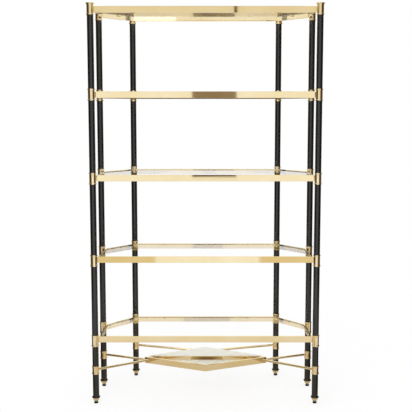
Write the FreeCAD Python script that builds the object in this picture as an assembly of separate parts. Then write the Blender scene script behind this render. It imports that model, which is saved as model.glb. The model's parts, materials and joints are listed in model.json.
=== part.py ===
import FreeCAD
import Part
import math
import os

vector = FreeCAD.Vector

# Plan of the six posts, measured between their axes
front_half_span = 565
middle_half_span = 558
rear_half_span = 398
front_to_middle = 234
front_to_rear = 394

# Levels above the floor, at the centres of what they name
bottom_shelf_level = 332
shelf_pitch = 417.5
shelf_count = 5
stretcher_level = 178

# Posts of black steel tube, flared out at the foot
post_diameter = 32
post_wall = 2
post_lip_diameter = 42
post_lip = 3
post_lip_cove = 7

# Brass collars that sleeve the posts, and the lugs that hold the shelf frames
collar_height = 58
collar_wall = 1
rim_height = 4.5
rim_projection = 2.5
rim_cove = 3.5
lug_width = 14
lug_shortfall = 3
stretcher_collar_height = 42

# Caps on the posts
cap_diameter = 42
cap_flange = 4
cap_cove = 8
cap_crown = 2.5
cap_spigot = 22

# Shelf frames of upright flat bar, with the tabs that carry the glass
bar_height = 33
bar_thickness = 8
bar_edge_break = 0.8
tab_length = 16
tab_reach = 12
tab_thickness = 4
front_tab_shares = (0.15, 0.5, 0.85)
rear_tab_shares = (0.2, 0.8)
short_tab_shares = (0.5,)

# Shelf glass and its clear pads
glass_thickness = 6
glass_drop = 4
glass_edge_gap = 1.5
glass_arris = 0.8
pad_diameter = 9
pad_thickness = 1.5

# Stretcher rods and the diamond between them
rod_diameter = 12.5
front_axis_to_diamond = 16
front_axis_to_side_corners = 144
front_axis_to_back_corner = 294
diamond_half_width = 324
crossbar_setback = 14
plate_seat_height = 9
plate_thickness = 5
plate_edge_gap = 1
plate_arris = 0.6
plate_tab_shares = (0.3, 0.7)

# Feet: a turned brass bowl, a threaded insert and a leveller with a black glide
ferrule_height = 20
ferrule_diameter = 36
ferrule_tip_diameter = 16
ferrule_bulge_share = 0.76
glide_diameter = 21
glide_height = 7
glide_edge_round = 2
stem_diameter = 8
stem_clearance = 0.4
stem_seat = 4
stem_end_break = 1
spanner_flats = 13
spanner_sides = 6
spanner_height = 4
insert_height = 26
leveller_stop_gap = 0.3

# Levels and places worked out from the sizes above
post_radius = post_diameter / 2
tube_bore_radius = post_radius - post_wall
collar_radius = post_radius + collar_wall
rim_radius = collar_radius + rim_projection
shelf_levels = [bottom_shelf_level + i * shelf_pitch for i in range(shelf_count)]
foot_level = glide_height + spanner_height + leveller_stop_gap
post_foot = foot_level + ferrule_height
cap_height = cap_flange + cap_cove
top_level = shelf_levels[-1] + collar_height / 2
post_top = top_level - cap_height
bar_bottom_offset = -bar_height / 2
frame_setback = collar_radius

front_y = -front_to_rear / 2
middle_y = front_y + front_to_middle
rear_y = front_y + front_to_rear
posts = {
    "front_left": vector(-front_half_span, front_y, 0),
    "front_right": vector(front_half_span, front_y, 0),
    "middle_right": vector(middle_half_span, middle_y, 0),
    "rear_right": vector(rear_half_span, rear_y, 0),
    "rear_left": vector(-rear_half_span, rear_y, 0),
    "middle_left": vector(-middle_half_span, middle_y, 0),
}
post_ring = list(posts.values())

diamond_front = vector(0, front_y + front_axis_to_diamond, 0)
diamond_right = vector(diamond_half_width, front_y + front_axis_to_side_corners, 0)
diamond_back = vector(0, front_y + front_axis_to_back_corner, 0)
diamond_left = vector(-diamond_half_width, front_y + front_axis_to_side_corners, 0)
diamond_outline = [diamond_front, diamond_right, diamond_back, diamond_left]
diamond_bottom = stretcher_level + bar_bottom_offset
diamond_top = diamond_bottom + bar_height


def export(shape, name):
    shape.exportStep(os.path.join("parts", name + ".step"))


def lifted(points, level):
    return [vector(p.x, p.y, level) for p in points]


def prism(points, bottom, height):
    corners = lifted(points, bottom)
    outline = Part.makePolygon(corners + corners[:1])
    return Part.Face(outline).extrude(vector(0, 0, height))


def cylinder(radius, height, place, axis=vector(0, 0, 1)):
    return Part.makeCylinder(radius, height, place, axis)


# Moves every side of an anticlockwise outline inwards by the same distance
def inset(points, distance):
    moved = []
    for i, here in enumerate(points):
        before = (here - points[i - 1]).normalize()
        after = (points[(i + 1) % len(points)] - here).normalize()
        inward_before = vector(-before.y, before.x, 0)
        inward_after = vector(-after.y, after.x, 0)
        reach = distance / (1 + inward_before.dot(inward_after))
        moved.append(here + (inward_before + inward_after) * reach)
    return moved


# Breaks the level edges of a flat piece, which are the ones that a hand meets
def broken_edges(shape, size):
    edges = [e for e in shape.Edges if abs(e.Vertexes[0].Z - e.Vertexes[-1].Z) < size / 2]
    return shape.makeChamfer(size, edges)


# Turns a closed outline of radius and height about the upright axis
# An entry of two numbers is a straight run, one of four an arc through its first point
def turned(outline):
    edges = []
    start = outline[-1][-2:]
    for entry in outline:
        end = entry[-2:]
        a = vector(start[0], 0, start[1])
        b = vector(end[0], 0, end[1])
        if len(entry) == 4:
            middle = vector(entry[0], 0, entry[1])
            edges.append(Part.Arc(a, middle, b).toShape())
        else:
            edges.append(Part.LineSegment(a, b).toShape())
        start = end
    face = Part.Face(Part.Wire(edges))
    return face.revolve(vector(0, 0, 0), vector(0, 0, 1), 360)


# Middle of a quarter-round cove that starts upright at its narrow end
def cove_middle(narrow, wide, upright_level, wide_level):
    quarter_share = math.sqrt(0.5)
    radius = wide - (wide - narrow) * quarter_share
    level = upright_level + (wide_level - upright_level) * quarter_share
    return (radius, level)


# A tube that flares out to a lip at its foot
def make_post():
    lip = post_lip_diameter / 2
    lip_top = post_foot + post_lip
    cove_top = lip_top + post_lip_cove
    cove = cove_middle(post_radius, lip, cove_top, lip_top)
    return turned([
        (tube_bore_radius, post_foot),
        (lip, post_foot),
        (lip, lip_top),
        cove + (post_radius, cove_top),
        (post_radius, post_top),
        (tube_bore_radius, post_top),
    ])


# Halfway point of the cap's low crown, on the sphere through its edge and its top
def crown_middle():
    cap_radius = cap_diameter / 2
    sphere = (cap_radius ** 2 + cap_crown ** 2) / (2 * cap_crown)
    half_radius = cap_radius / 2
    drop = sphere - math.sqrt(sphere ** 2 - half_radius ** 2)
    return (half_radius, top_level + cap_crown - drop)


# A flared brass cap with a low crown, whose spigot fills the mouth of the tube
def make_cap():
    cap_radius = cap_diameter / 2
    flange_bottom = top_level - cap_flange
    waist = (collar_radius, post_top)
    cove = cove_middle(collar_radius, cap_radius, post_top, flange_bottom)
    return turned([
        (0, post_top - cap_spigot),
        (tube_bore_radius, post_top - cap_spigot),
        (tube_bore_radius, post_top),
        waist,
        cove + (cap_radius, flange_bottom),
        (cap_radius, top_level),
        crown_middle() + (0, top_level + cap_crown),
    ])


# A sleeve with a rim at its foot, and one at its head unless a cap sits there
def make_collar(bottom, top, has_head_rim):
    foot_rim_top = bottom + rim_height
    foot_cove_top = foot_rim_top + rim_cove
    foot_cove = cove_middle(collar_radius, rim_radius, foot_cove_top, foot_rim_top)
    outline = [
        (post_radius, bottom),
        (rim_radius, bottom),
        (rim_radius, foot_rim_top),
        foot_cove + (collar_radius, foot_cove_top),
    ]
    if has_head_rim:
        head_rim_bottom = top - rim_height
        head_cove_bottom = head_rim_bottom - rim_cove
        head_cove = cove_middle(collar_radius, rim_radius, head_cove_bottom, head_rim_bottom)
        outline += [
            (collar_radius, head_cove_bottom),
            head_cove + (rim_radius, head_rim_bottom),
            (rim_radius, top),
        ]
    else:
        outline.append((collar_radius, top))
    outline.append((post_radius, top))
    return turned(outline)


# A block from the collar to the corner of the shelf frame, notched to fit both
# It keeps out of the room before the front bar, whose face runs clean to its end
def make_lug(post, corner, frame_solid, front_room, level):
    reach = corner - post
    along = vector(reach.x, reach.y, 0).normalize()
    across = vector(-along.y, along.x, 0) * (lug_width / 2)
    far = post + along * (reach.Length + lug_width / 2)
    outline = [post - across, far - across, far + across, post + across]
    height = bar_height - 2 * lug_shortfall
    block = prism(outline, level - height / 2, height)
    block = block.cut(cylinder(post_radius, height, vector(post.x, post.y, level - height / 2)))
    return block.cut(frame_solid).cut(front_room)


def make_tab(start, end, share, top):
    along = (end - start).normalize()
    inward = vector(-along.y, along.x, 0) * tab_reach
    middle = start + (end - start) * share
    half = along * (tab_length / 2)
    outline = [middle - half, middle + half, middle + half + inward, middle - half + inward]
    return prism(outline, top - tab_thickness, tab_thickness)


def tab_places(outline):
    short = short_tab_shares
    side_shares = (front_tab_shares, short, short, rear_tab_shares, short, short)
    places = []
    for i, start in enumerate(outline):
        end = outline[(i + 1) % len(outline)]
        places += [(start, end, share) for share in side_shares[i]]
    return places


def write_shelf(number, level):
    frame_top = level - bar_bottom_offset
    glass_top = frame_top - glass_drop
    glass_bottom = glass_top - glass_thickness
    tab_top = glass_bottom - pad_thickness
    outer = inset(post_ring, frame_setback)
    inner = inset(post_ring, frame_setback + bar_thickness)
    full = prism(outer, level + bar_bottom_offset, bar_height)
    frame = full.cut(prism(inner, level + bar_bottom_offset, bar_height))
    frame = broken_edges(frame, bar_edge_break)
    pads = []
    for start, end, share in tab_places(inner):
        frame = frame.fuse(make_tab(start, end, share, tab_top))
        along = (end - start).normalize()
        seat = start + (end - start) * share + vector(-along.y, along.x, 0) * (tab_reach / 2)
        pads.append(cylinder(pad_diameter / 2, pad_thickness, vector(seat.x, seat.y, tab_top)))
    export(frame.removeSplitter(), "shelf_frame_" + number)

    pane_outline = inset(post_ring, frame_setback + bar_thickness + glass_edge_gap)
    pane = broken_edges(prism(pane_outline, glass_bottom, glass_thickness), glass_arris)
    export(pane, "shelf_glass_" + number)

    left_end, right_end = outer[:2]
    front_line = [vector(left_end.x, front_y, 0), vector(right_end.x, front_y, 0)]
    front_room = prism(front_line + [right_end, left_end], level + bar_bottom_offset, bar_height)
    is_top = level == shelf_levels[-1]
    collar_top = post_top if is_top else level + collar_height / 2
    collars = []
    for post, corner in zip(post_ring, outer):
        collar = make_collar(level - collar_height / 2, collar_top, not is_top)
        collar.translate(post)
        lug = make_lug(post, corner, full, front_room, level)
        collars.append(collar.fuse(lug).removeSplitter())
    export(Part.makeCompound(collars), "shelf_collars_" + number)
    return pads


# The diamond frame, with tabs for the low plate
def make_diamond_frame():
    inner = inset(diamond_outline, bar_thickness)
    frame = prism(diamond_outline, diamond_bottom, bar_height)
    frame = frame.cut(prism(inner, diamond_bottom, bar_height))
    frame = broken_edges(frame, bar_edge_break)
    front, right, _, left = inner
    for start, end in ((front, right), (left, front)):
        for share in plate_tab_shares:
            frame = frame.fuse(make_tab(start, end, share, diamond_bottom + plate_seat_height))
    return frame.removeSplitter()


def crossbar_front():
    return diamond_left.y + crossbar_setback - bar_thickness / 2


def make_crossbar(frame):
    front = crossbar_front()
    outline = [
        vector(-diamond_half_width, front, 0),
        vector(diamond_half_width, front, 0),
        vector(diamond_half_width, front + bar_thickness, 0),
        vector(-diamond_half_width, front + bar_thickness, 0),
    ]
    bay = prism(inset(diamond_outline, bar_thickness / 2), diamond_bottom, bar_height)
    bar = broken_edges(prism(outline, diamond_bottom, bar_height), bar_edge_break)
    pieces = bar.common(bay).cut(frame).Solids
    return max(pieces, key=lambda piece: piece.Volume)


# The point of an edge that lies at a given depth
def at_depth(start, end, depth):
    return start + (end - start) * ((depth - start.y) / (end.y - start.y))


# The low plate fills the front bay, clear of the frame and the cross bar
def make_front_plate():
    front, right, back, left = inset(diamond_outline, bar_thickness + plate_edge_gap)
    limit = crossbar_front() - plate_edge_gap
    outline = [front, right, at_depth(right, back, limit), at_depth(left, back, limit), left]
    plate = prism(outline, diamond_bottom + plate_seat_height, plate_thickness)
    return broken_edges(plate, plate_arris)


# The high plate lies on the back bars and the cross bar
def make_rear_plate():
    _, right, back, left = inset(diamond_outline, plate_edge_gap)
    depth = crossbar_front()
    outline = [at_depth(back, left, depth), at_depth(right, back, depth), back]
    return broken_edges(prism(outline, diamond_top, plate_thickness), plate_arris)


# A round rod from a collar to a corner of the diamond, shaped to both at its ends
def make_rod(post, corner):
    start = vector(post.x, post.y, stretcher_level)
    end = vector(corner.x, corner.y, stretcher_level)
    rod = cylinder(rod_diameter / 2, (end - start).Length, start, end - start)
    collar_foot = vector(post.x, post.y, stretcher_level - stretcher_collar_height / 2)
    rod = rod.cut(cylinder(collar_radius, stretcher_collar_height, collar_foot))
    rod = rod.cut(prism(diamond_outline, diamond_bottom, bar_height))
    own_side = vector(post.x, 0, 0)
    side_room = [vector(0, front_y, 0), vector(0, rear_y, 0)]
    side_room += [point + own_side for point in reversed(side_room)]
    return rod.common(prism(side_room, diamond_bottom, bar_height))


# A bowl that closes the foot of the post
def make_ferrule():
    bore = stem_diameter / 2 + stem_clearance
    tip = ferrule_tip_diameter / 2
    rim = ferrule_diameter / 2
    bowl_middle = (
        tip + (rim - tip) * ferrule_bulge_share,
        (foot_level + post_foot) / 2,
    )
    return turned([
        (bore, foot_level),
        (tip, foot_level),
        bowl_middle + (rim, post_foot),
        (bore, post_foot),
    ])


def make_insert():
    plug = cylinder(tube_bore_radius, insert_height, vector(0, 0, post_foot))
    bore = stem_diameter / 2 + stem_clearance
    return plug.cut(cylinder(bore, insert_height, vector(0, 0, post_foot)))


# The black glide, a round-edged disc with a socket for the stem
def make_glide():
    radius = glide_diameter / 2
    socket = stem_diameter / 2
    round_share = math.sqrt(0.5)
    edge_middle = (
        radius - glide_edge_round * (1 - round_share),
        glide_edge_round * (1 - round_share),
    )
    return turned([
        (0, 0),
        (radius - glide_edge_round, 0),
        edge_middle + (radius, glide_edge_round),
        (radius, glide_height),
        (socket, glide_height),
        (socket, glide_height - stem_seat),
        (0, glide_height - stem_seat),
    ])


# The leveller's stem, with a hexagon for a spanner that stops against the ferrule
def make_stem():
    bottom = glide_height - stem_seat
    stem = cylinder(stem_diameter / 2, post_foot + insert_height - bottom, vector(0, 0, bottom))
    top_edge = [e for e in stem.Edges if e.BoundBox.ZMin > post_foot]
    stem = stem.makeChamfer(stem_end_break, top_edge)
    corner_radius = spanner_flats / 2 / math.cos(math.pi / spanner_sides)
    turns = [2 * math.pi * i / spanner_sides for i in range(spanner_sides)]
    hexagon = [vector(math.cos(turn), math.sin(turn), 0) * corner_radius for turn in turns]
    return stem.fuse(prism(hexagon, glide_height, spanner_height))


def placed(shape, post):
    moved = shape.copy()
    moved.translate(post)
    return moved


os.makedirs("parts", exist_ok=True)

for name, post in posts.items():
    export(placed(make_post(), post), "post_" + name)
    export(placed(make_cap(), post), "cap_" + name)
    export(placed(make_ferrule(), post), "foot_ferrule_" + name)
    export(placed(make_glide(), post), "leveller_glide_" + name)
    export(placed(make_stem(), post), "leveller_stem_" + name)

inserts = [placed(make_insert(), post) for post in post_ring]
export(Part.makeCompound(inserts), "leveller_inserts")

glass_pads = []
for index, level in enumerate(shelf_levels):
    glass_pads += write_shelf(str(shelf_count - index), level)
export(Part.makeCompound(glass_pads), "glass_pads")

stretcher_foot = stretcher_level - stretcher_collar_height / 2
stretcher_collar = make_collar(stretcher_foot, stretcher_foot + stretcher_collar_height, True)
stretcher_collars = [placed(stretcher_collar, post) for post in post_ring]
export(Part.makeCompound(stretcher_collars), "stretcher_collars")

# The rods aim at the inner corners of the diamond, so that two that meet at one stay apart
_, right_aim, back_aim, left_aim = inset(diamond_outline, bar_thickness)
rod_corners = {
    "front_left": left_aim,
    "front_right": right_aim,
    "middle_right": right_aim,
    "rear_right": back_aim,
    "rear_left": back_aim,
    "middle_left": left_aim,
}
for name, corner in rod_corners.items():
    export(make_rod(posts[name], corner), "stretcher_rod_" + name)

diamond_frame = make_diamond_frame()
export(diamond_frame, "diamond_frame")
export(make_crossbar(diamond_frame), "diamond_crossbar")
export(make_front_plate(), "diamond_plate_front")
export(make_rear_plate(), "diamond_plate_rear")
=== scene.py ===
import json
import math

import bpy
import numpy as np
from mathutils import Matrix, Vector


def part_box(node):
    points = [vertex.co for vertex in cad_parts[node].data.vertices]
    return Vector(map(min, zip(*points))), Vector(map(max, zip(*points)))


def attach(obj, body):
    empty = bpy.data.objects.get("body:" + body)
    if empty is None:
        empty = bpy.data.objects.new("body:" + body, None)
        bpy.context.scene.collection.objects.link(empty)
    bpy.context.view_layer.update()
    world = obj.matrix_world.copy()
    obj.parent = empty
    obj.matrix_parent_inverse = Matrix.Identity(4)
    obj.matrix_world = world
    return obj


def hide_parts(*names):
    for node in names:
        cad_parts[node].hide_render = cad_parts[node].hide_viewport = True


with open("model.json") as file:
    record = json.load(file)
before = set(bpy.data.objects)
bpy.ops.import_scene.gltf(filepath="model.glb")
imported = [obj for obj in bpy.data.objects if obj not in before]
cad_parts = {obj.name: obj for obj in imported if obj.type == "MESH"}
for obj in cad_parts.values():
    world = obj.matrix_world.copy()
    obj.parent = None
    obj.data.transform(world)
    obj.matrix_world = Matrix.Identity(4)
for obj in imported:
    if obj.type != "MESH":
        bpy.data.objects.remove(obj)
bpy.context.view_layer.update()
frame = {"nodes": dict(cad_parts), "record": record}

scene = bpy.context.scene
scene.view_settings.view_transform = "Standard"
nodes = frame["nodes"]
print("frame loaded with", len(nodes), "nodes")

mm = 0.001
bumpHeight = 1 * mm  # what a full step of a bump pattern stands for
halfCount = 0.5      # tells one whole count of a ray's turns from the next


def linearColour(hexText):
    # sRGB hex to linear light by the standard's two-part curve, channel by channel
    channels = np.array([int(hexText[i:i + 2], 16) for i in (1, 3, 5)]) / 255
    linear = np.where(channels <= 0.04045, channels / 12.92, ((channels + 0.055) / 1.055) ** 2.4)
    return (*linear.tolist(), 1.0)


def addNode(tree, kind, sockets=None, **settings):
    # a socket's entry is a plain value, or another node's output to link
    node = tree.nodes.new(kind)
    for name, value in settings.items():
        setattr(node, name, value)
    for name, value in (sockets or {}).items():
        if isinstance(value, bpy.types.NodeSocket):
            tree.links.new(value, node.inputs[name])
        else:
            node.inputs[name].default_value = value
    return node


def newMaterial(name, coordinates="Object"):
    material = bpy.data.materials.new(name)
    material.use_nodes = True
    tree = material.node_tree
    tree.nodes.clear()
    out = addNode(tree, "ShaderNodeOutputMaterial")
    place = addNode(tree, "ShaderNodeTexCoord").outputs[coordinates]
    return material, tree, out, place


def mottle(tree, place, size, detail, tones, spread=(0.0, 1.0)):
    # a cloudy pattern of a real size, and a tone that runs from one colour to the other with it
    cloud = addNode(tree, "ShaderNodeTexNoise", {"Vector": place, "Scale": 1 / size, "Detail": detail})
    tone = addNode(tree, "ShaderNodeValToRGB", {"Fac": cloud.outputs["Fac"]})
    for stop, position, colour in zip(tone.color_ramp.elements, spread, tones):
        stop.position = position
        stop.color = linearColour(colour)
    return cloud.outputs["Fac"], tone.outputs["Color"]


# Brass, turned or drawn, polished on a wheel and lacquered: warm mirror with faint level hairlines
brassFinish = {
    "tones": ("#F3DFAF", "#F9E9C2"), "spread": (0.3, 0.7),  # deep and pale, at these levels of the pattern
    "patch": 140 * mm, "patchDetail": 3.0,                  # cloudy change of tone in the lacquer
    "hairSpacing": 3 * mm, "hairDetail": 2.0,  # real lines are near 0.3 mm, drawn coarser so that they show
    "hairLength": 220 * mm,
    "roughness": (0.025, 0.05), "bump": 0.004,
}


def polishedBrass():
    spec = brassFinish
    material, tree, out, place = newMaterial("polishedBrass")
    tone = mottle(tree, place, spec["patch"], spec["patchDetail"], spec["tones"], spec["spread"])[1]
    across = 1 / spec["hairLength"]
    stretched = addNode(tree, "ShaderNodeMapping",
                        {"Vector": place, "Scale": (across, across, 1 / spec["hairSpacing"])})
    hairs = addNode(tree, "ShaderNodeTexNoise",
                    {"Vector": stretched.outputs[0], "Scale": 1.0, "Detail": spec["hairDetail"]})
    gloss = addNode(tree, "ShaderNodeMapRange", {
        "Value": hairs.outputs["Fac"], "From Min": spec["spread"][0], "From Max": spec["spread"][1],
        "To Min": spec["roughness"][0], "To Max": spec["roughness"][1]})
    bump = addNode(tree, "ShaderNodeBump",
                   {"Height": hairs.outputs["Fac"], "Strength": spec["bump"], "Distance": bumpHeight})
    shader = addNode(tree, "ShaderNodeBsdfPrincipled", {
        "Base Color": tone, "Metallic": 1.0,
        "Roughness": gloss.outputs["Result"], "Normal": bump.outputs["Normal"]})
    tree.links.new(shader.outputs[0], out.inputs["Surface"])
    return material


# Steel tube sprayed satin black: soft broad sheen with a little orange peel
lacquerFinish = {
    "tones": ("#0B0B0A", "#131312"),
    "cloud": 120 * mm, "cloudDetail": 3.0, "spread": (0.3, 0.7),
    "peel": 2.5 * mm, "peelDetail": 1.0,  # real peel is near 1 mm, drawn coarser so that it shows
    "roughness": (0.2, 0.27), "bump": 0.004, "ior": 1.5, "specular": 0.68,
}


def satinBlackLacquer():
    spec = lacquerFinish
    material, tree, out, place = newMaterial("satinBlackLacquer")
    cloud, tone = mottle(tree, place, spec["cloud"], spec["cloudDetail"], spec["tones"])
    peel = addNode(tree, "ShaderNodeTexNoise",
                   {"Vector": place, "Scale": 1 / spec["peel"], "Detail": spec["peelDetail"]})
    gloss = addNode(tree, "ShaderNodeMapRange", {
        "Value": cloud, "From Min": spec["spread"][0], "From Max": spec["spread"][1],
        "To Min": spec["roughness"][0], "To Max": spec["roughness"][1]})
    bump = addNode(tree, "ShaderNodeBump",
                   {"Height": peel.outputs["Fac"], "Strength": spec["bump"], "Distance": bumpHeight})
    shader = addNode(tree, "ShaderNodeBsdfPrincipled", {
        "Base Color": tone, "Roughness": gloss.outputs["Result"],
        "IOR": spec["ior"], "Specular IOR Level": spec["specular"], "Normal": bump.outputs["Normal"]})
    tree.links.new(shader.outputs[0], out.inputs["Surface"])
    return material


# Clear float glass with polished edges: white to look through, a breath of green in its depth
glassFinish = {
    "tones": ("#FDFEFE", "#FFFFFF"),
    "wave": 160 * mm, "waveDetail": 1.0,  # slow change of tint from the float bath
    "roughness": 0.0, "ior": 1.52,        # a perfect polish, so that the stage can tell a pane from brass
    "depthColour": "#CFE6DC", "depthDensity": 0.6,
}


def clearFloatGlass():
    spec = glassFinish
    material, tree, out, place = newMaterial("clearFloatGlass")
    tone = mottle(tree, place, spec["wave"], spec["waveDetail"], spec["tones"])[1]
    shader = addNode(tree, "ShaderNodeBsdfPrincipled", {
        "Base Color": tone, "Roughness": spec["roughness"], "IOR": spec["ior"], "Transmission Weight": 1.0})
    depth = addNode(tree, "ShaderNodeVolumeAbsorption", {
        "Color": linearColour(spec["depthColour"]), "Density": spec["depthDensity"]})
    tree.links.new(shader.outputs[0], out.inputs["Surface"])
    tree.links.new(depth.outputs[0], out.inputs["Volume"])
    return material


# Glass etched satin on one side: pale, milky and softly shiny
etchedFinish = {
    "tones": ("#FAF9EA", "#FFFFF6"),
    "cloud": 70 * mm, "cloudDetail": 3.0,
    "grain": 2 * mm, "grainDetail": 2.0,
    "roughness": (0.28, 0.38), "bump": 0.02, "ior": 1.52, "through": 0.15,
}


def etchedGlass():
    spec = etchedFinish
    material, tree, out, place = newMaterial("etchedGlass")
    tone = mottle(tree, place, spec["cloud"], spec["cloudDetail"], spec["tones"])[1]
    grain = addNode(tree, "ShaderNodeTexNoise",
                    {"Vector": place, "Scale": 1 / spec["grain"], "Detail": spec["grainDetail"]})
    gloss = addNode(tree, "ShaderNodeMapRange", {
        "Value": grain.outputs["Fac"], "To Min": spec["roughness"][0], "To Max": spec["roughness"][1]})
    bump = addNode(tree, "ShaderNodeBump",
                   {"Height": grain.outputs["Fac"], "Strength": spec["bump"], "Distance": bumpHeight})
    shader = addNode(tree, "ShaderNodeBsdfPrincipled", {
        "Base Color": tone, "Roughness": gloss.outputs["Result"], "IOR": spec["ior"],
        "Transmission Weight": spec["through"], "Normal": bump.outputs["Normal"]})
    tree.links.new(shader.outputs[0], out.inputs["Surface"])
    return material


# Moulded nylon: dull black with a fine spark-eroded grain
nylonFinish = {
    "tones": ("#060606", "#101010"),
    "grain": 1.2 * mm, "grainDetail": 3.0,
    "roughness": 0.55, "bump": 0.08, "ior": 1.53, "specular": 0.25,
}


def mouldedNylon():
    spec = nylonFinish
    material, tree, out, place = newMaterial("mouldedNylon")
    grain, tone = mottle(tree, place, spec["grain"], spec["grainDetail"], spec["tones"])
    bump = addNode(tree, "ShaderNodeBump",
                   {"Height": grain, "Strength": spec["bump"], "Distance": bumpHeight})
    shader = addNode(tree, "ShaderNodeBsdfPrincipled", {
        "Base Color": tone, "Roughness": spec["roughness"], "IOR": spec["ior"],
        "Specular IOR Level": spec["specular"], "Normal": bump.outputs["Normal"]})
    tree.links.new(shader.outputs[0], out.inputs["Surface"])
    return material


# Zinc-plated steel: bright bluish grey, rolled and plated, so a little cloudy
zincFinish = {
    "tones": ("#A9ACAE", "#CFD2D4"),
    "cloud": 6 * mm, "cloudDetail": 3.0,
    "roughness": (0.24, 0.4),
}


def zincSteel():
    spec = zincFinish
    material, tree, out, place = newMaterial("zincSteel")
    cloud, tone = mottle(tree, place, spec["cloud"], spec["cloudDetail"], spec["tones"])
    gloss = addNode(tree, "ShaderNodeMapRange", {
        "Value": cloud, "To Min": spec["roughness"][0], "To Max": spec["roughness"][1]})
    shader = addNode(tree, "ShaderNodeBsdfPrincipled", {
        "Base Color": tone, "Metallic": 1.0, "Roughness": gloss.outputs["Result"]})
    tree.links.new(shader.outputs[0], out.inputs["Surface"])
    return material


# Soft clear silicone: slightly cloudy, wet-looking
siliconeFinish = {
    "tones": ("#DDE3E0", "#EEF2F0"),
    "cloud": 4 * mm, "cloudDetail": 2.0,
    "roughness": 0.25, "ior": 1.41, "through": 0.7,
}


def clearSilicone():
    spec = siliconeFinish
    material, tree, out, place = newMaterial("clearSilicone")
    tone = mottle(tree, place, spec["cloud"], spec["cloudDetail"], spec["tones"])[1]
    shader = addNode(tree, "ShaderNodeBsdfPrincipled", {
        "Base Color": tone, "Roughness": spec["roughness"], "IOR": spec["ior"],
        "Transmission Weight": spec["through"]})
    tree.links.new(shader.outputs[0], out.inputs["Surface"])
    return material


finishes = {
    "brass": polishedBrass(),
    "black_lacquer": satinBlackLacquer(),
    "clear_glass": clearFloatGlass(),
    "etched_glass": etchedGlass(),
    "black_plastic": mouldedNylon(),
    "steel": zincSteel(),
    "clear_pad": clearSilicone(),
}
for part in frame["record"]["subparts"]:
    piece = nodes[part["node"]]
    piece.data.materials.clear()
    piece.data.materials.append(finishes[part["material_slot"]])
for name, piece in nodes.items():
    if name.startswith("shelf_glass"):  # light goes straight through a clear pane
        piece.visible_shadow = piece.visible_diffuse = False
    if name.startswith("diamond_plate"):  # the cross bar mirrors the room, not the plate at its foot
        piece.visible_glossy = False
print("finishes on", len(nodes), "nodes")


# Leveller stems: an M8 thread above a chamfered spanner hexagon, and a plain end in the glide
threadedStem = {
    "corners": 6, "steps": 48,            # steps round the stem, a multiple of the corners
    "flats": 13 * mm, "hexagonHeight": 4 * mm, "chamfer": 0.6 * mm,
    "chamferRows": (0, 0.3, 0.6, 1, 2),   # rows in from each end of the hexagon, in chamfers
    "coneShare": 0.97, "coneSlope": 1.75,  # the cone's share of the flats at an end, and how it opens
    "shank": 3.97 * mm, "pitch": 1.25 * mm, "depth": 0.68 * mm, "rowsPerPitch": 8,
    "waveGain": 1.3, "waveCut": 0.15,     # stretch of the wave, and what is cut off at crest and root
    "lead": 1.5 * mm,                     # the thread grows from its root over this length at each end
    "sharpDegrees": 35,                   # a steeper edge than this stays sharp
}


def closedTurning(name, radius, levels, axis):
    # a surface of rows and columns: each row a ring of radii at its level, with a flat lid at both ends
    rows, columns = radius.shape
    turn = np.arange(columns) * 2 * np.pi / columns
    ring = np.stack([np.cos(turn), np.sin(turn)])
    across = radius[None] * ring[:, None] + np.array(axis)[:2, None, None]
    upright = np.broadcast_to(levels[:, None], radius.shape)
    points = np.stack([across[0], across[1], upright], axis=-1).reshape(-1, 3)
    index = np.arange(rows * columns).reshape(rows, columns)
    beside = np.roll(index, -1, axis=1)
    walls = np.stack([index[:-1], beside[:-1], beside[1:], index[1:]], axis=-1).reshape(-1, 4)
    faces = walls.tolist() + [index[0, ::-1].tolist(), index[-1].tolist()]
    mesh = bpy.data.meshes.new(name)
    mesh.from_pydata(points.tolist(), [], faces)
    mesh.shade_smooth()
    mesh.set_sharp_from_angle(angle=math.radians(threadedStem["sharpDegrees"]))
    piece = bpy.data.objects.new(name, mesh)
    scene.collection.objects.link(piece)
    return piece


def hexagonRows(turn):
    # half the flats over the cosine of the angle from the nearest flat, cut by a cone at both ends
    spec = threadedStem
    sector = 2 * np.pi / spec["corners"]
    hexagon = spec["flats"] / 2 / np.cos(turn % sector - sector / 2)
    inFromEnd = np.array(spec["chamferRows"]) * spec["chamfer"]
    rise = np.append(inFromEnd, spec["hexagonHeight"] - inFromEnd[::-1])
    nearEnd = np.minimum(rise, spec["hexagonHeight"] - rise)
    cone = spec["flats"] / 2 * spec["coneShare"] + nearEnd * spec["coneSlope"]
    return np.minimum(hexagon, cone[:, None]), rise


def threadRows(turn, low, high):
    # a triangle wave of height minus turn, one pitch for each turn, clipped at crest and root
    spec = threadedStem
    levels = np.linspace(low, high, int((high - low) / spec["pitch"] * spec["rowsPerPitch"]))
    wave = (levels[:, None] / spec["pitch"] - turn / (2 * np.pi)) % 1
    crest = np.clip(spec["waveGain"] * (1 - np.abs(2 * wave - 1)) - spec["waveCut"], 0, 1)
    grown = np.minimum(levels - low, high - levels) / spec["lead"]
    radius = spec["shank"] - spec["depth"] * (1 - crest * np.clip(grown, 0, 1)[:, None])
    return radius, levels


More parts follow.
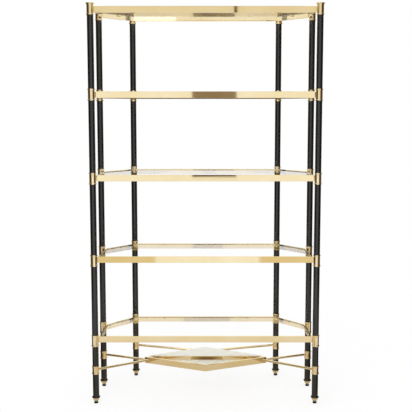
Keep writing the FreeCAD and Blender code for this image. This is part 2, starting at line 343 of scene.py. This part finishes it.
def makeStem(place):
    # rings from the bottom up: a plain shank, the hexagon, then the thread to the stem's top
    spec = threadedStem
    low, high = (np.array(corner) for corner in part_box("leveller_stem_" + place))
    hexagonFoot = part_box("leveller_glide_" + place)[1][2]
    turn = np.arange(spec["steps"]) * 2 * np.pi / spec["steps"]
    shank = np.full((2, spec["steps"]), spec["shank"])
    hexagon, hexagonRise = hexagonRows(turn)
    thread, threadLevels = threadRows(turn, hexagonFoot + spec["hexagonHeight"], high[2])
    levels = np.concatenate([[low[2], hexagonFoot], hexagonFoot + hexagonRise, threadLevels])
    words = "".join(word.capitalize() for word in place.split("_"))
    radius = np.vstack([shank, hexagon, thread])
    stem = closedTurning("threadedStem" + words, radius, levels, (low + high) / 2)
    stem.data.materials.append(finishes["steel"])
    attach(stem, "leveller_" + place)
    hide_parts("leveller_stem_" + place)


postPlaces = [name[len("post_"):] for name in nodes if name.startswith("post_")]
for place in postPlaces:
    makeStem(place)
print("threaded stems on", len(postPlaces), "levellers")


def stagePanel(name, corners, material):
    # a flat four-cornered card, not part of the etagere
    mesh = bpy.data.meshes.new(name)
    mesh.from_pydata(corners, [], [(0, 1, 2, 3)])
    mesh.uv_layers.new().data.foreach_set("uv", (0, 0, 1, 0, 1, 1, 0, 1))
    mesh.materials.append(material)
    panel = bpy.data.objects.new(name, mesh)
    scene.collection.objects.link(panel)
    return panel


# Floor and world: white to the camera and to glass, with the object's shadow kept, and painted shade tones
# that only brass mirrors
stageLook = {
    "white": "#FFFFFF", "floorHalf": 30.0, "ambient": 0.95,
    "shadowShare": 0.25, "shadowReach": (0.5, 2.2),
    "footprint": (0.56, 0.20, 0.0),  # half of the ground that the object covers
    "underTone": "#B49E76", "awayDistance": 1.7,  # painted shade near the object that brass mirrors in the floor, out to where it is white
    # painted shade tones for the floor's middle, front and sides, as brass behind a pane and brass above
    # one mirror them
    "behindTones": ("#9C7E28", "#DCCB90", "#947C20"), "aboveTones": ("#3A2A10", "#A68400", "#2A2010"),
    "middleHalf": 0.16, "middleSoft": 0.016, "sideFrom": 0.9, "sideFull": 1.2,
}


def seenStraight(tree, path):
    # one for the camera's own rays and for those that come off metal or through glass
    seen = path.outputs["Is Camera Ray"]
    for kind in ("Is Glossy Ray", "Is Transmission Ray"):
        either = addNode(tree, "ShaderNodeMath", {0: seen, 1: path.outputs[kind]}, operation="MAXIMUM")
        seen = either.outputs[0]
    return seen


def paintedShadeForBrass(tree, path, fromMiddle, distance):
    # painted shade that only brass sees in the floor: tan near the object and white far out, and where a
    # pane lies between, darker bands across the width
    look = stageLook
    away = addNode(tree, "ShaderNodeMapRange", {
        "Value": distance, "From Min": 0.0, "From Max": look["awayDistance"]})
    tone = addNode(tree, "ShaderNodeMix", {
        "Factor": away.outputs["Result"], "A": linearColour(look["underTone"]),
        "B": linearColour(look["white"])}, data_type="RGBA")
    behindPane = addNode(tree, "ShaderNodeMath", {
        0: path.outputs["Transmission Depth"], 1: halfCount}, operation="GREATER_THAN")
    sideways = addNode(tree, "ShaderNodeSeparateXYZ", {0: fromMiddle})
    shareOut = addNode(tree, "ShaderNodeMath", {
        0: sideways.outputs["X"], 1: look["sideFull"]}, operation="DIVIDE")
    bandEnds = (look["middleHalf"], look["middleHalf"] + look["middleSoft"], look["sideFrom"])
    middleEnd, frontStart, frontEnd = (end / look["sideFull"] for end in bandEnds)
    # darker painted shade bands, for brass seen through a pane and for brass that looks down through one
    for tones, where in ((look["behindTones"], behindPane.outputs[0]),
                         (look["aboveTones"], path.outputs["Is Transmission Ray"])):
        middle, front, side = (linearColour(hexText) for hexText in tones)
        bands = addNode(tree, "ShaderNodeValToRGB", {"Fac": shareOut.outputs[0]})
        stops = bands.color_ramp.elements
        stops[0].position = middleEnd
        stops[0].color = middle
        stops[1].color = side
        stops.new(frontStart).color = front
        stops.new(frontEnd).color = front
        tone = addNode(tree, "ShaderNodeMix", {
            "Factor": where, "A": tone.outputs["Result"], "B": bands.outputs["Color"]}, data_type="RGBA")
    return tone.outputs["Result"]


def paperFloor():
    # white paper that keeps a share of its shadow near the object, and shows brass painted shade tones in
    # its place
    look = stageLook
    paperWhite = linearColour(look["white"])
    material, tree, out, place = newMaterial("paperFloor")
    path = addNode(tree, "ShaderNodeLightPath")
    fromMiddle = addNode(tree, "ShaderNodeVectorMath", {0: place}, operation="ABSOLUTE").outputs[0]
    past = addNode(tree, "ShaderNodeVectorMath", {
        0: fromMiddle, 1: look["footprint"]}, operation="SUBTRACT")
    beyond = addNode(tree, "ShaderNodeVectorMath", {
        0: past.outputs[0], 1: (0, 0, 0)}, operation="MAXIMUM")
    span = addNode(tree, "ShaderNodeVectorMath", {0: beyond.outputs[0]}, operation="LENGTH")
    distance = span.outputs["Value"]
    polished = addNode(tree, "ShaderNodeMath", {  # a pane's own mirror image is singular, and stays white
        0: path.outputs["Is Glossy Ray"], 1: path.outputs["Is Singular Ray"]},
        operation="SUBTRACT", use_clamp=True)
    mirroredOnce = addNode(tree, "ShaderNodeMath", {
        0: path.outputs["Glossy Depth"], 1: 1.0, 2: halfCount}, operation="COMPARE")
    downPane = addNode(tree, "ShaderNodeMath", {  # brass that looks down through the pane below it
        0: mirroredOnce.outputs[0], 1: path.outputs["Is Transmission Ray"]}, operation="MULTIPLY")
    polished = addNode(tree, "ShaderNodeMath", {
        0: polished.outputs[0], 1: downPane.outputs[0]}, operation="MAXIMUM")
    # the glowing floor is white to the camera and to glass, and carries the painted shade tones to brass
    tone = addNode(tree, "ShaderNodeMix", {
        "Factor": polished.outputs[0], "A": paperWhite,
        "B": paintedShadeForBrass(tree, path, fromMiddle, distance)}, data_type="RGBA")
    white = addNode(tree, "ShaderNodeEmission", {"Color": tone.outputs["Result"], "Strength": 1.0})
    paper = addNode(tree, "ShaderNodeBsdfDiffuse", {"Color": paperWhite})
    flat = addNode(tree, "ShaderNodeMapRange", {
        "Value": distance, "From Min": look["shadowReach"][0], "From Max": look["shadowReach"][1],
        "To Min": 1 - look["shadowShare"], "To Max": 1.0}, interpolation_type="SMOOTHSTEP")
    share = addNode(tree, "ShaderNodeMath", {
        0: seenStraight(tree, path), 1: flat.outputs["Result"]}, operation="MULTIPLY")
    blend = addNode(tree, "ShaderNodeMixShader", {
        "Fac": share.outputs[0], 1: paper.outputs[0], 2: white.outputs[0]})
    tree.links.new(blend.outputs[0], out.inputs["Surface"])
    return material


def studioWorld():
    # plain white all round, a little softer as light than as backdrop
    world = bpy.data.worlds.new("studioWhite")
    world.use_nodes = True
    tree = world.node_tree
    tree.nodes.clear()
    path = addNode(tree, "ShaderNodeLightPath")
    backdrop = linearColour(stageLook["white"])
    white = addNode(tree, "ShaderNodeBackground", {"Color": backdrop, "Strength": 1.0})
    ambient = addNode(tree, "ShaderNodeBackground", {"Color": backdrop, "Strength": stageLook["ambient"]})
    blend = addNode(tree, "ShaderNodeMixShader", {
        "Fac": seenStraight(tree, path), 1: ambient.outputs[0], 2: white.outputs[0]})
    addNode(tree, "ShaderNodeOutputWorld", {"Surface": blend.outputs[0]})
    return world


half = stageLook["floorHalf"]
stagePanel("floor", [(-half, -half, 0), (half, -half, 0), (half, half, 0), (-half, half, 0)], paperFloor())
scene.world = studioWorld()


# Flags and cards that only polished metal sees, glowing sheets of painted reflection with the dark ones as
# painted shade, and one that shows only through glass as a painted tan reflection, in metres
# Each has a corner, a run along and a rise, and its edges thin out over a share of its size
flags = {
    "flagSide": {"corner": (1.41, -2.30, -0.4), "along": (1.2, 3.2, 0), "rise": (0, 0, 3.6),
                 "tone": "#4E4130", "fade": 0.16, "pair": True},
    "flagBack": {"corner": (2.65, -0.2, -0.4), "along": (-1.15, 2.5, 0), "rise": (0, 0, 3.6),
                 "tone": "#6B5B44", "fade": 0.16, "pair": True},
    # floor cards beside the object: painted shade on the floor, seen only in the brass
    "floorSide": {"corner": (0.64, -0.5, 0.003), "along": (1.8, 0, 0), "rise": (0, 1.6, 0),
                  "tone": "#3A3020", "edge": "#B49E76", "fade": 0.1, "pair": True},
    "ceiling": {"corner": (0.85, -2.5, 3.4), "along": (2.2, 0, 0), "rise": (0, 5, 0),
                "tone": "#6B5A44", "fade": 0.1, "pair": True},
    "skirt": {"corner": (0.485, -3.5, 0), "along": (1.1, 0, 0), "rise": (0, 0, 0.11),
              "tone": "#E7DAB8", "fade": 0.04, "pair": True},
    "flagHigh": {"corner": (-0.16, -3.95, 1.3), "along": (0.46, 0, 0), "rise": (0, 0, 1.0),
                 "tone": "#958471", "fade": 0.02},
    "flagLow": {"corner": (-0.16, -3.95, 0.81), "along": (0.46, 0, 0), "rise": (0, 0, 0.5),
                "tone": "#5A4636", "fade": 0.02},
    "flagLevel": {"corner": (-0.16, -3.94, 1.45), "along": (0.46, 0, 0), "rise": (0, 0, 0.13),
                  "tone": "#1E1A14", "edge": "#958471", "fade": 0.02},
    "flagStrip": {"corner": (0.268, -3.94, 2.38), "along": (0.032, 0, 0), "rise": (0, 0, 0.3),
                  "tone": "#4A3018", "fade": 0.05},
    # cards just above the top pane: painted reflections in the brass, the smaller one a darker patch of
    # painted shade
    "paneCard": {"corner": (-0.5, -0.29, 2.0405), "along": (1.0, 0, 0), "rise": (0, 0.21, 0),
                 "tone": "#C2B593", "fade": 0.01},
    "paneMark": {"corner": (-0.115, -0.289, 2.04), "along": (0.25, 0, 0), "rise": (0, 0.208, 0),
                 "tone": "#958776", "edge": "#C2B593", "fade": 0.03},
    "cardAbove": {"corner": (-2.4, -3.96, 2.3), "along": (4.8, 0, 0), "rise": (0, 0, 1.3),
                  "tone": "#EDE7D8", "fade": 0.05},
    # floor cards in front of the object: painted shade on the floor near it, seen only in the brass
    "floorMark": {"corner": (-0.09, -0.68, 0.002), "along": (0.19, 0, 0), "rise": (0, 0.36, 0),
                  "tone": "#6E5636", "edge": "#B49E76", "fade": 0.45},
    "floorNear": {"corner": (-0.138, -1.08, 0.002), "along": (0.29, 0, 0), "rise": (0, 0.23, 0),
                  "tone": "#7A6238", "edge": "#B8AA8D", "fade": 0.02},
    "floorBand": {"corner": (-1.0, -1.08, 0.001), "along": (2.0, 0, 0), "rise": (0, 0.23, 0),
                  "tone": "#B8AA8D", "edge": "#CDBFA2", "fade": 0.05},
    # a tan card seen only through glass: a painted reflection that tints the panes golden
    "cardBehind": {"corner": (-2.5, 2.5, 2.05), "along": (5.0, 0, 0), "rise": (0, 0, 1.35),
                   "tone": "#A8863E", "fade": 0.05, "through": True},
}
cardMiddle = 0.5  # in a card's own UV square, and so its half width there too


def lookPast(tree, through):
    # one for rays that pass a card by: a pane's own mirror image, and brass behind a pane
    # the card that shows through glass is passed by every ray that something mirrored
    path = addNode(tree, "ShaderNodeLightPath")
    if through:
        return addNode(tree, "ShaderNodeMath", {
            0: path.outputs["Glossy Depth"], 1: halfCount}, operation="GREATER_THAN").outputs[0]
    behindPane = addNode(tree, "ShaderNodeMath", {
        0: path.outputs["Transmission Depth"], 1: halfCount}, operation="GREATER_THAN")
    offPane = addNode(tree, "ShaderNodeMath", {
        0: path.outputs["Is Singular Ray"], 1: path.outputs["Is Transmission Ray"]},
        operation="SUBTRACT", use_clamp=True)
    return addNode(tree, "ShaderNodeMath", {
        0: behindPane.outputs[0], 1: offPane.outputs[0]}, operation="MAXIMUM").outputs[0]


def paintedReflectionCard(name, flag):
    # the flag's painted reflection tone, glowing, which thins to its edge tone with the larger of the two
    # distances from its middle
    material, tree, out, across = newMaterial(name, "UV")
    centred = addNode(tree, "ShaderNodeVectorMath", {0: across, 1: (cardMiddle, cardMiddle, 0)},
                      operation="SUBTRACT")
    fromMiddle = addNode(tree, "ShaderNodeVectorMath", {0: centred.outputs[0]}, operation="ABSOLUTE")
    sides = addNode(tree, "ShaderNodeSeparateXYZ", {0: fromMiddle.outputs[0]})
    outermost = addNode(tree, "ShaderNodeMath", {
        0: sides.outputs["X"], 1: sides.outputs["Y"]}, operation="MAXIMUM")
    thin = addNode(tree, "ShaderNodeMapRange", {
        "Value": outermost.outputs[0], "From Min": cardMiddle - flag["fade"], "From Max": cardMiddle},
        interpolation_type="SMOOTHSTEP")
    tone = addNode(tree, "ShaderNodeMix", {
        "Factor": thin.outputs["Result"], "A": linearColour(flag["tone"]),
        "B": linearColour(flag.get("edge", stageLook["white"]))}, data_type="RGBA")
    # the card glows with its painted reflection tone wherever rays don't pass it by
    glow = addNode(tree, "ShaderNodeEmission", {"Color": tone.outputs["Result"], "Strength": 1.0})
    nothing = addNode(tree, "ShaderNodeBsdfTransparent")
    shown = addNode(tree, "ShaderNodeMixShader", {
        "Fac": lookPast(tree, flag.get("through")), 1: glow.outputs[0], 2: nothing.outputs[0]})
    tree.links.new(shown.outputs[0], out.inputs["Surface"])
    return material


def hangFlag(name, flag, cardGlow, side=1):
    # a pair's left flag is its right one with x turned over
    corner, along, rise = (np.array(flag[key]) * (side, 1, 1) for key in ("corner", "along", "rise"))
    card = stagePanel(name, [corner, corner + along, corner + along + rise, corner + rise], cardGlow)
    card.visible_camera = card.visible_diffuse = card.visible_shadow = False
    card.visible_transmission = flag.get("through", False)
    card.visible_glossy = not card.visible_transmission


for name, flag in flags.items():
    cardGlow = paintedReflectionCard(name + "Cloth", flag)
    if flag.get("pair"):
        hangFlag(name + "Left", flag, cardGlow, side=-1)
        hangFlag(name + "Right", flag, cardGlow)
    else:
        hangFlag(name, flag, cardGlow)
print("stage set with", len(flags), "kinds of flag")


# One broad soft key from the front, above and a little to the left
keyLight = {"place": (-1.4, -3.6, 3.4), "aim": (0.0, 0.0, 0.9), "side": 2.6, "watts": 45.0}


def addKeyLight():
    lamp = bpy.data.lights.new("softKey", "AREA")
    lamp.shape = "SQUARE"
    lamp.size = keyLight["side"]
    lamp.energy = keyLight["watts"]
    key = bpy.data.objects.new("softKey", lamp)
    scene.collection.objects.link(key)
    toward = np.array(keyLight["aim"]) - np.array(keyLight["place"])
    key.location = keyLight["place"]
    key.rotation_euler = (math.atan2(np.hypot(toward[0], toward[1]), -toward[2]), 0,
                          math.atan2(-toward[0], toward[1]))
    key.visible_glossy = False
    key.visible_camera = False


addKeyLight()

# Camera of the photograph: its image in pixels, its place in metres
cameraView = {
    "imageSide": 412, "focalPixels": 725.5, "axisPixel": (209.5, 181.3),
    "place": (0.021, -3.819, 1.5195), "tiltDegrees": 5.783,  # down from level
    "sensorWidth": 36.0,  # mm
}


def addCamera():
    view = cameraView
    side = view["imageSide"]
    data = bpy.data.cameras.new("photoCamera")
    data.sensor_width = view["sensorWidth"]
    data.lens = view["focalPixels"] / side * view["sensorWidth"]
    data.shift_x = (side / 2 - view["axisPixel"][0]) / side
    data.shift_y = (view["axisPixel"][1] - side / 2) / side
    camera = bpy.data.objects.new("photoCamera", data)
    scene.collection.objects.link(camera)
    camera.location = view["place"]
    camera.rotation_euler = (math.radians(90 - view["tiltDegrees"]), 0, 0)
    scene.camera = camera


addCamera()
print("camera and light placed")
